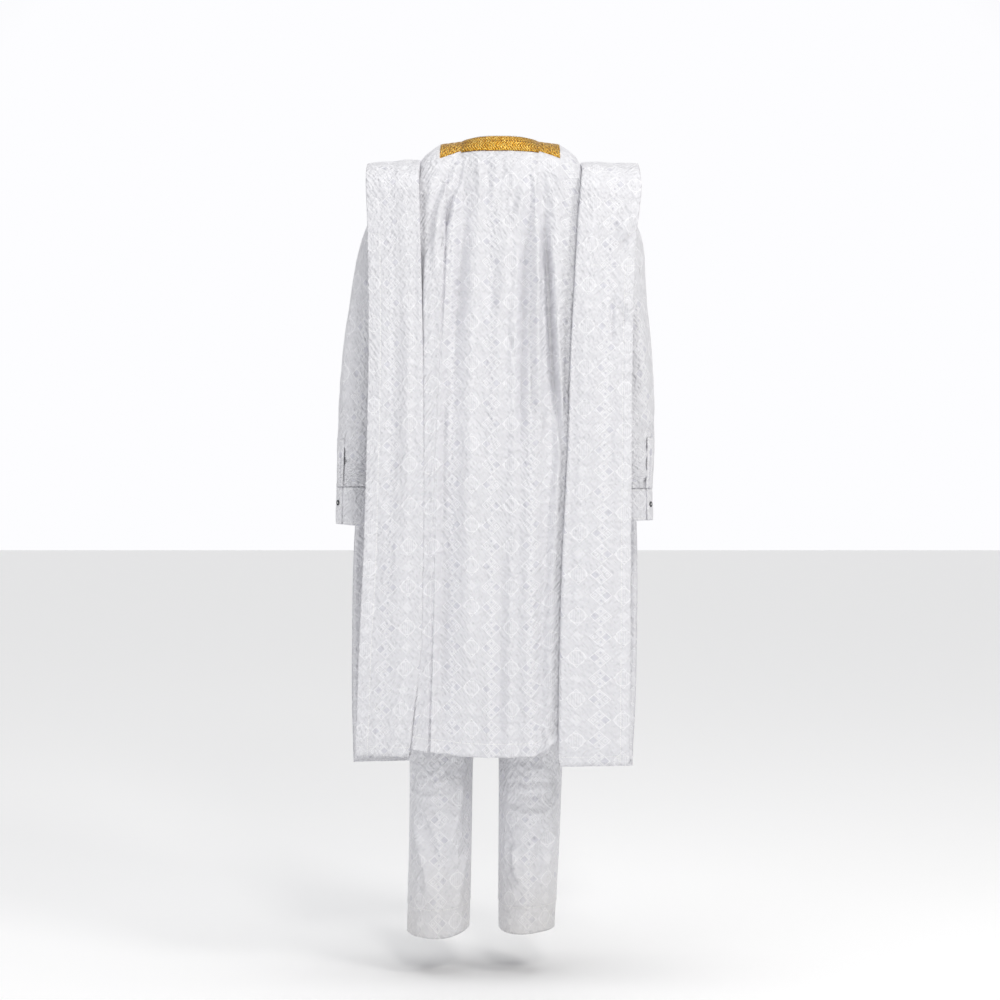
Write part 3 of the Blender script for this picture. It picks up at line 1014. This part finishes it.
def makeButton(name, node, outward, lift=0):
    middle, axis = nodeFrame(node)
    axis = axis if np.dot(axis, outward) > 0 else -axis
    r, rim, thick = button["radius"], button["rim"], button["thick"]
    profile = [(0, 0), (r * 0.82, 0), (r, 0.5), (r, thick - 0.6), (r - 0.3, thick - 0.15), (r - 0.7, thick),
               (r - rim, thick - 0.25), (r - rim - 0.5, thick - button["dish"]), (0, thick - button["dish"])]
    bm = bmesh.new()
    last = None
    for x, z in profile:
        vert = bm.verts.new((x * mm, 0, (z - thick / 2) * mm))
        if last:
            bm.edges.new((last, vert))
        last = vert
    bmesh.ops.spin(bm, geom=bm.verts[:] + bm.edges[:], cent=(0, 0, 0), axis=(0, 0, 1), angle=math.tau,
                   steps=28, use_merge=True)
    bmesh.ops.remove_doubles(bm, verts=bm.verts, dist=1e-6)
    bmesh.ops.recalc_face_normals(bm, faces=bm.faces)
    turnTo = Vector(axis).to_track_quat("Z", "Y").to_matrix().to_4x4()
    place = Matrix.Translation(Vector(middle + axis * lift * mm)) @ turnTo
    bmesh.ops.transform(bm, matrix=place, verts=bm.verts)
    threads = bmesh.new()
    for across in (-1, 1):  # two parallel strands, drawn as low arched rods
        rod = bmesh.ops.create_cone(threads, cap_ends=True, segments=8, radius1=button["thread"] * mm,
                                    radius2=button["thread"] * mm, depth=2.6 * button["holeAt"] * mm)["verts"]
        bmesh.ops.rotate(threads, verts=rod, cent=(0, 0, 0), matrix=Matrix.Rotation(math.pi / 2, 3, "X"))
        bmesh.ops.translate(threads, verts=rod, vec=(across * button["holeAt"] * 0.6 * mm, 0,
                                                     (thick / 2 - button["dish"] + 0.2) * mm))
    bmesh.ops.transform(threads, matrix=place, verts=threads.verts)
    for part, mesh, look, slotName in ((name, bm, materials["button"], "dark_button"),
                                       (name + "Thread", threads, materials["thread"], "white_damask")):
        data = bpy.data.meshes.new(part)
        mesh.to_mesh(data)
        mesh.free()
        for face in data.polygons:
            face.use_smooth = True
        data.materials.append(look)
        piece = bpy.data.objects.new(part, data)
        bpy.context.scene.collection.objects.link(piece)
        finishPiece(piece, (node,) if part == name else ())
    smoothing = bpy.data.objects[name].modifiers.new("smooth", "SUBSURF")
    smoothing.levels = smoothing.render_levels = 1


def linearColour(hexValue):
    parts = [int(hexValue[i:i + 2], 16) / 255 for i in (1, 3, 5)]
    return tuple(p / 12.92 if p <= 0.04045 else ((p + 0.055) / 1.055) ** 2.4 for p in parts) + (1,)


def addNode(tree, kind, inputs=(), **settings):  # a node with its settings; inputs are values or links
    node = tree.nodes.new(kind)
    for name, value in settings.items():
        setattr(node, name, value)
    for name, value in dict(inputs).items():
        if isinstance(value, bpy.types.NodeSocket):
            tree.links.new(value, node.inputs[name])
        else:
            node.inputs[name].default_value = value
    return node


def runSteps(tree, steps, known):  # each step is a name, an operation and up to three operands
    for name, operation, *operands in steps:
        ready = {i: known.get(x, x) if isinstance(x, str) else x for i, x in enumerate(operands)}
        known[name] = addNode(tree, "ShaderNodeMath", ready, operation=operation).outputs[0]
    return known


def newMaterial(name):
    material = bpy.data.materials.new(name)
    material.use_nodes = True
    material.node_tree.nodes.clear()
    return material, material.node_tree


def mapPair(tree, uvName):  # a UV map's two lengths in millimetres
    place = addNode(tree, "ShaderNodeUVMap", uv_map=uvName)
    parts = addNode(tree, "ShaderNodeSeparateXYZ", {0: place.outputs[0]})
    return place.outputs[0], parts.outputs[0], parts.outputs[1]


def layColours(tree, tone, layers):  # colours laid on in turn, each where its share says
    for share, colour in layers:
        mixed = addNode(tree, "ShaderNodeMix", {0: share, 6: tone, 7: linearColour(colour)}, data_type="RGBA")
        tone = mixed.outputs[2]
    return tone


def finishMaterial(tree, settings):
    shader = addNode(tree, "ShaderNodeBsdfPrincipled", settings)
    addNode(tree, "ShaderNodeOutputMaterial", {"Surface": shader.outputs[0]})


# Damask: columns of small diamonds in groups, with medallions midway. All in millimetres of cloth.
damaskSteps = [
    ("chainX", "PINGPONG", "u", 37.0), ("chainY", "PINGPONG", "v", 19.1),
    ("reach", "ADD", "chainX", "chainY"), ("groupEdge", "COMPARE", "reach", 17.6, 1.0),
    ("inGroup", "LESS_THAN", "reach", 16.6),
    ("slant", "SUBTRACT", "chainX", "chainY"), ("slantLine", "COMPARE", "slant", 0.0, 0.9),
    ("crossLine", "MULTIPLY", "slantLine", "inGroup"),
    ("squareY", "SUBTRACT", "chainY", 9.6), ("squareAway", "ABSOLUTE", "squareY"),
    ("squareReach", "ADD", "squareAway", "chainX"), ("square", "LESS_THAN", "squareReach", 2.6),
    ("tip", "LESS_THAN", "squareReach", 7.2),
    ("sideX", "SUBTRACT", "chainX", 9.6), ("sideAway", "ABSOLUTE", "sideX"),
    ("sideReach", "ADD", "sideAway", "chainY"), ("sideFill", "LESS_THAN", "sideReach", 6.6),
    ("mx", "SUBTRACT", 37.0, "chainX"),
    ("wide", "WRAP", "u", 148.0, 0.0), ("alternate", "GREATER_THAN", "wide", 74.0),
    ("shift", "MULTIPLY", "alternate", 38.2), ("vShifted", "ADD", "v", "shift"),
    ("my", "PINGPONG", "vShifted", 38.2),
    ("nearMedallion", "LESS_THAN", "my", 19.0), ("sideDark", "MULTIPLY", "sideFill", "nearMedallion"),
    ("sideRing", "COMPARE", "sideReach", 3.6, 0.8), ("farMedallion", "SUBTRACT", 1.0, "nearMedallion"),
    ("sideLight", "MULTIPLY", "sideRing", "farMedallion"),
    ("dx", "MULTIPLY", "mx", 0.0625), ("dy", "MULTIPLY", "my", 0.054),
    ("diamond", "ADD", "dx", "dy"), ("diamondEdge", "COMPARE", "diamond", 1.0, 0.06),
    ("xx", "MULTIPLY", "mx", "mx"), ("rr", "MULTIPLY_ADD", "my", "my", "xx"), ("r", "SQRT", "rr"),
    ("ring", "COMPARE", "r", 13.0, 0.9), ("inRing", "LESS_THAN", "r", 11.6),
    ("thread", "PINGPONG", "u", 1.9), ("stripe", "GREATER_THAN", "thread", 1.0),
    ("stripes", "MULTIPLY", "stripe", "inRing"),
    ("betweenY", "SUBTRACT", 38.2, "my"), ("bx", "MULTIPLY", "mx", 0.1), ("by", "MULTIPLY", "betweenY", 0.084),
    ("betweenReach", "ADD", "bx", "by"), ("between", "LESS_THAN", "betweenReach", 1.0),
    ("lightA", "MAXIMUM", "groupEdge", "crossLine"), ("lightB", "MAXIMUM", "diamondEdge", "ring"),
    ("fillA", "MAXIMUM", "stripes", "between"), ("fill", "MAXIMUM", "fillA", "tip"),
    ("lightC", "MULTIPLY", "fill", 0.45),
    ("lightD", "MAXIMUM", "lightA", "lightB"), ("lightE", "MAXIMUM", "lightD", "sideLight"),
    ("light", "MAXIMUM", "lightE", "lightC"), ("dark", "MAXIMUM", "square", "sideDark"),
]
# Sewing: a dashed thread on the line of stitching, with small dips where the needle went in.
sewingSteps = [
    ("away", "ABSOLUTE", "fromStitch"), ("onLine", "LESS_THAN", "away", 0.55),
    ("along", "WRAP", "run", 4.2, 0.0), ("dash", "LESS_THAN", "along", 3.1),
    ("sewn", "MULTIPLY", "onLine", "dash"),
    ("needle", "SUBTRACT", 1.0, "dash"), ("hole", "MULTIPLY", "needle", "onLine"),
    ("closeBy", "SUBTRACT", 1.6, "away"), ("drawn", "MAXIMUM", "closeBy", 0.0),
]
# A real thread is 0.3 mm wide and doesn't show from here, so the weave is drawn at 2.4 mm.
weaveSteps = [
    ("warpTurn", "MULTIPLY", "u", math.tau / 2.4), ("weftTurn", "MULTIPLY", "v", math.tau / 2.4),
    ("warp", "SINE", "warpTurn"), ("weft", "SINE", "weftTurn"), ("weave", "MULTIPLY", "warp", "weft"),
]
damask = {
    "ground": "#E5E5E9", "figure": "#F4F4F7", "dark": "#DBDBE2", "sewing": "#FAFAFA", "dust": "#CFC9BF",
    "groundGloss": 0.36, "figureGloss": 0.58, "crinkle": (0.2, 0.075, 0.0), "crinkleBend": (1.6, 1.6, 0.0),
    "crinkleDeep": 0.0044, "threadDeep": 0.0006,
}


def whiteDamask():  # starched and beaten cotton damask: a satin ground that shines, with a duller figure
    material, tree = newMaterial("whiteDamask")
    placeUv, u, v = mapPair(tree, "cloth")
    _, run, fromStitch = mapPair(tree, "stitching")
    known = runSteps(tree, damaskSteps, {"u": u, "v": v})
    known.update(runSteps(tree, sewingSteps, {"run": run, "fromStitch": fromStitch}))
    known.update(runSteps(tree, weaveSteps, {"u": u, "v": v}))
    tone = layColours(tree, linearColour(damask["ground"]), [
        (known["light"], damask["figure"]), (known["dark"], damask["dark"]), (known["sewn"], damask["sewing"])])
    where = addNode(tree, "ShaderNodeTexCoord").outputs["Object"]
    slubs = addNode(tree, "ShaderNodeTexNoise", {"Vector": where, "Scale": 9.0, "Detail": 3.0}).outputs[0]
    height = addNode(tree, "ShaderNodeSeparateXYZ", {0: where}).outputs[2]
    # starch keeps fine crinkles, 5 by 13 mm, that slant both ways
    bent = addNode(tree, "ShaderNodeTexNoise", {"Vector": placeUv, "Scale": 0.03, "Detail": 2.0}).outputs[1]
    bending = addNode(tree, "ShaderNodeVectorMath", {0: bent, 1: damask["crinkleBend"]}, operation="MULTIPLY")
    crinkles = {}
    for name, slant in (("falling", 0.7), ("rising", -0.6)):
        slanted = addNode(tree, "ShaderNodeVectorRotate", {0: placeUv, "Angle": slant}, rotation_type="Z_AXIS")
        moved = addNode(tree, "ShaderNodeVectorMath", {0: slanted.outputs[0], 1: damask["crinkle"],
                                                        2: bending.outputs[0]},
                        operation="MULTIPLY_ADD")
        cells = addNode(tree, "ShaderNodeTexVoronoi", {"Vector": moved.outputs[0], "Scale": 1.0},
                        voronoi_dimensions="2D", feature="SMOOTH_F1")
        crinkles[name] = cells.outputs["Distance"]
    patchy = addNode(tree, "ShaderNodeTexNoise", {"Vector": where, "Scale": 5.0, "Detail": 1.0}).outputs[0]
    matteness = damask["figureGloss"] - damask["groundGloss"]
    wear = runSteps(tree, [  # a little dust from the ground at the trouser hems
        ("low", "SUBTRACT", -1.36, "z"), ("lower", "MULTIPLY", "low", 3.0), ("share", "MINIMUM", "lower", 0.5),
        ("kept", "MAXIMUM", "share", 0.0), ("dust", "MULTIPLY", "kept", "noise"),
        ("duller", "MULTIPLY", "noise", 0.16), ("matte", "MULTIPLY", "light", matteness),
        ("gloss", "ADD", "matte", "duller"), ("roughness", "ADD", "gloss", damask["groundGloss"] - 0.08),
    ], {"z": height, "noise": slubs, "light": known["light"]})
    tone = layColours(tree, tone, [(wear["dust"], damask["dust"])])
    relief = runSteps(tree, [
        ("figure", "MULTIPLY", "light", 0.35), ("sunk", "MULTIPLY", "dark", 0.2),
        ("cloth", "SUBTRACT", "figure", "sunk"), ("fine", "MULTIPLY", "weave", 0.12),
        ("both", "ADD", "cloth", "fine"),
        ("stitches", "MULTIPLY", "sewn", 1.1), ("raised", "ADD", "both", "stitches"),
        ("dip", "MULTIPLY", "drawn", -0.5), ("sum", "ADD", "raised", "dip"),
        ("holes", "MULTIPLY", "hole", -0.8),
        ("relief", "ADD", "sum", "holes"),
        ("rest", "SUBTRACT", 1.0, "patchy"), ("up", "MULTIPLY", "rising", "rest"),
        ("crinkled", "MULTIPLY_ADD", "falling", "patchy", "up"),
    ], dict(known, patchy=patchy, **crinkles))
    broad = addNode(tree, "ShaderNodeBump", {
        "Height": relief["crinkled"], "Strength": 1.0, "Distance": damask["crinkleDeep"]})
    bump = addNode(tree, "ShaderNodeBump", {
        "Height": relief["relief"], "Normal": broad.outputs[0], "Strength": 0.4,
        "Distance": damask["threadDeep"]})
    finishMaterial(tree, {
        "Base Color": tone, "Roughness": wear["roughness"], "Normal": bump.outputs[0], "IOR": 1.47,
        "Sheen Weight": 0.12, "Sheen Roughness": 0.4, "Coat Weight": 0.08, "Coat Roughness": 0.42})
    return material


# Braid of gold metallic thread: plaited rows that lean left and right in turn, with brown in the gaps.
braidSteps = [
    ("row", "PINGPONG", "v", braid["pitch"]), ("lean", "MULTIPLY_ADD", "row", braid["lean"], "u"),
    ("turn", "MULTIPLY", "lean", math.tau / braid["plait"]),
    ("plait", "SINE", "turn"), ("gap", "LESS_THAN", "plait", -0.45),
    ("twist", "MULTIPLY_ADD", "row", -1.6, "u"), ("twistTurn", "MULTIPLY", "twist", math.tau / 1.7),
    ("strand", "SINE", "twistTurn"), ("strandLow", "MULTIPLY", "strand", 0.3),
    ("height", "ADD", "plait", "strandLow"),
    ("rowEdge", "COMPARE", "row", 0.0, 0.5), ("dark", "MAXIMUM", "gap", "rowEdge"),
]


def goldBraid():
    material, tree = newMaterial("goldBraid")
    _, u, v = mapPair(tree, "cloth")
    known = runSteps(tree, braidSteps, {"u": u, "v": v})
    where = addNode(tree, "ShaderNodeTexCoord").outputs["Object"]
    glitter = addNode(tree, "ShaderNodeTexVoronoi", {"Vector": where, "Scale": 340.0}).outputs["Distance"]
    spark = runSteps(tree, [("spark", "LESS_THAN", "d", 0.34)], {"d": glitter})["spark"]
    tone = layColours(tree, linearColour("#E0A526"), [(known["dark"], "#8A5A16"), (spark, "#FFE07A")])
    bump = addNode(tree, "ShaderNodeBump", {"Height": known["height"], "Strength": 0.6, "Distance": 0.0006})
    finishMaterial(tree, {
        "Base Color": tone, "Metallic": 0.55, "Roughness": 0.3, "Normal": bump.outputs[0]})
    return material


def darkButton():  # polished polyester button, near black, with a faint clouded grain
    material, tree = newMaterial("darkButton")
    where = addNode(tree, "ShaderNodeTexCoord").outputs["Object"]
    clouds = addNode(tree, "ShaderNodeTexNoise", {"Vector": where, "Scale": 260.0, "Detail": 2.0}).outputs[0]
    tone = layColours(tree, linearColour("#15161A"), [(clouds, "#3A3D46")])
    bump = addNode(tree, "ShaderNodeBump", {"Height": clouds, "Strength": 0.1, "Distance": 0.0002})
    finishMaterial(tree, {
        "Base Color": tone, "Roughness": 0.24, "IOR": 1.54, "Normal": bump.outputs[0]})
    return material


def whiteThread():  # twisted polyester sewing thread; its twist is drawn at 0.5 mm to show close up
    material, tree = newMaterial("whiteThread")
    where = addNode(tree, "ShaderNodeTexCoord").outputs["Object"]
    twist = addNode(tree, "ShaderNodeTexWave", {"Vector": where, "Scale": 640.0, "Distortion": 0.4},
                    bands_direction="DIAGONAL").outputs[1]
    bump = addNode(tree, "ShaderNodeBump", {"Height": twist, "Strength": 0.4, "Distance": 0.0001})
    finishMaterial(tree, {
        "Base Color": linearColour("#F2F2F0"), "Roughness": 0.5, "IOR": 1.53, "Normal": bump.outputs[0],
        "Sheen Weight": 0.2})
    return material


materials = {"damask": whiteDamask(), "gold": goldBraid(), "button": darkButton(), "thread": whiteThread()}
print("materials made")

# The pieces.
white, gold = materials["damask"], materials["gold"]
robeBackPiece = makeCloth("robeBack", ("robe_back",), robeBack, len(backColumns) - 1, len(backRows) - 1,
                          robe["wall"], white)
robeFrontPiece = makeCloth("robeFront", ("robe_front",), robeFront, len(frontColumns) - 1, len(frontRows) - 1,
                           robe["wall"], white)
for name, facts in foldedSleeves.items():
    facts["piece"] = makeCloth("foldedSleeve" + name, facts["nodes"], foldedSleeve(facts), len(section) - 1,
                               len(sleeveRows) - 1, robe["wall"], white)
print("robe made")

neckTrims = [makeCloth("neckBraidBack", ("neck_trim_back",), neckBraidBack, 96, 20, braid["wall"], gold)]
for name, hand, node in (("neckBraidLeft", -1, "neck_trim_left"), ("neckBraidRight", 1, "neck_trim_right")):
    surface, keep = neckBraidSide(hand)
    neckTrims.append(makeCloth(name, (node,), surface, 60, len(sideBraidRows) - 1, braid["wall"], gold,
                               keep=keep))
print("braid made")

tunicPieces = {
    side: makeCloth("tunic" + side, ("tunic_" + side.lower(),), tunicPanel(way),
                    len(tunicAcross) - 1, len(tunicRows) - 1, tunic["wall"], white)
    for side, way in (("Back", -1), ("Front", 1))}
neckband = makeCloth("tunicNeckband", ("tunic_neckband",), tunicNeckband, 120, 8, 2.2, white, joined=True)
placket = makeCloth("tunicPlacket", ("tunic_placket",), tunicPlacket, 14, 90, 1.4, white)
armPieces = []
for name, arm in arms.items():
    low, table, hand = name.lower(), arm["table"], arm["hand"]
    long = makeCloth("tunicSleeve" + name, ("tunic_sleeve_" + low,), tunicSleeve(table, hand, arm["creases"]),
                     112, len(armRows) - 1, tunic["wall"], white, joined=True)
    band = makeCloth("cuff" + name, ("cuff_" + low,), cuffSurface(table, hand, arm["high"], arm["droop"]),
                     110, 26, cuff["wall"], white)
    strip = makeCloth("sleeveSlit" + name, ("sleeve_slit_" + low,), slitStrip(table, hand), 24, 50, 1.2, white)
    armPieces += [long, band, strip]
print("tunic made")

for name, table, hand in (("Left", leftLeg, -1), ("Right", rightLeg, 1)):
    for face, side in (("Back", -1), ("Front", 1)):
        key = name.lower() + face
        panel = trouserPanel(table, hand, side, legCreases[key], legHems[key], 40 + hand + side)
        makeCloth(
            "trousers" + name + face, ("trousers_" + name.lower() + "_" + face.lower(),), panel,
            len(legAcross) - 1, len(legRows) - 1, trousers["wall"], white)
waistband = makeCloth("trousersWaistband", ("trousers_waistband",), trousersWaistband, 180, 8,
                      trousers["bandWall"], white, joined=True)
print("trousers made")

for k in (1, 2, 3):
    makeButton(f"tunicButton{k}", f"tunic_button_{k}", (0, 1, 0.2), -0.4)
for name, hand in (("Left", -1), ("Right", 1)):
    makeButton("cuffButton" + name, "cuff_button_" + name.lower(), (hand * 0.7, -0.7, 0), 1.8)
print("buttons made")

# How each was cut flat, in metres.
print("sheets declared")

# Pale floor and soft studio light.
scene = bpy.context.scene
floorMesh = bmesh.new()
bmesh.ops.create_grid(floorMesh, x_segments=1, y_segments=1, size=30)
bmesh.ops.translate(floorMesh, verts=floorMesh.verts, vec=(0, 0, -soles * mm))
floorData = bpy.data.meshes.new("floor")
floorMesh.to_mesh(floorData)
floorMesh.free()
floorMaterial, floorTree = newMaterial("paleFloor")
finishMaterial(floorTree, {"Base Color": linearColour("#FEFEFE"), "Roughness": 0.9, "Specular IOR Level": 0.1})
floorData.materials.append(floorMaterial)
floor = bpy.data.objects.new("floor", floorData)
scene.collection.objects.link(floor)

world = bpy.data.worlds.new("studio")
world.use_nodes = True
world.node_tree.nodes.clear()
way = addNode(world.node_tree, "ShaderNodeTexCoord").outputs["Generated"]
ahead = addNode(world.node_tree, "ShaderNodeSeparateXYZ", {0: way}).outputs[1]
glow = addNode(world.node_tree, "ShaderNodeMapRange", {0: ahead, 1: 0.7, 2: 0.94, 3: 0.3, 4: 1.0}).outputs[0]
backdrop = addNode(world.node_tree, "ShaderNodeBackground", {"Color": linearColour("#FDFDFF"), "Strength": glow})
addNode(world.node_tree, "ShaderNodeOutputWorld", {"Surface": backdrop.outputs[0]})
scene.world = world

aim = Vector((0, 0, -0.7))
lamps = [
    {"name": "key", "kind": "AREA", "at": (0.75, -3.3, 1.3), "size": 0.6, "power": 30, "colour": "#FFFDFA"},
    {"name": "side", "kind": "AREA", "at": (2.2, -2.0, 1.6), "size": 0.8, "power": 30, "colour": "#FFFDFA"},
    {"name": "fill", "kind": "AREA", "at": (-2.8, -2.4, 0.2), "size": 2.0, "power": 13, "colour": "#F7F9FF"},
    {"name": "overhead", "kind": "SUN", "at": (0, 0, 4), "size": 1.0, "power": 1.45, "colour": "#FFFFFF"},
]
for lamp in lamps:
    data = bpy.data.lights.new(lamp["name"], lamp["kind"])
    if lamp["kind"] == "AREA":
        data.size = lamp["size"]
    else:
        data.angle = lamp["size"]
    data.energy = lamp["power"]
    data.color = linearColour(lamp["colour"])[:3]
    light = bpy.data.objects.new(lamp["name"], data)
    light.location = lamp["at"]
    light.rotation_euler = (aim - Vector(lamp["at"])).to_track_quat("-Z", "Y").to_euler()
    scene.collection.objects.link(light)

scene.view_settings.view_transform = "Standard"
print("scene ready")
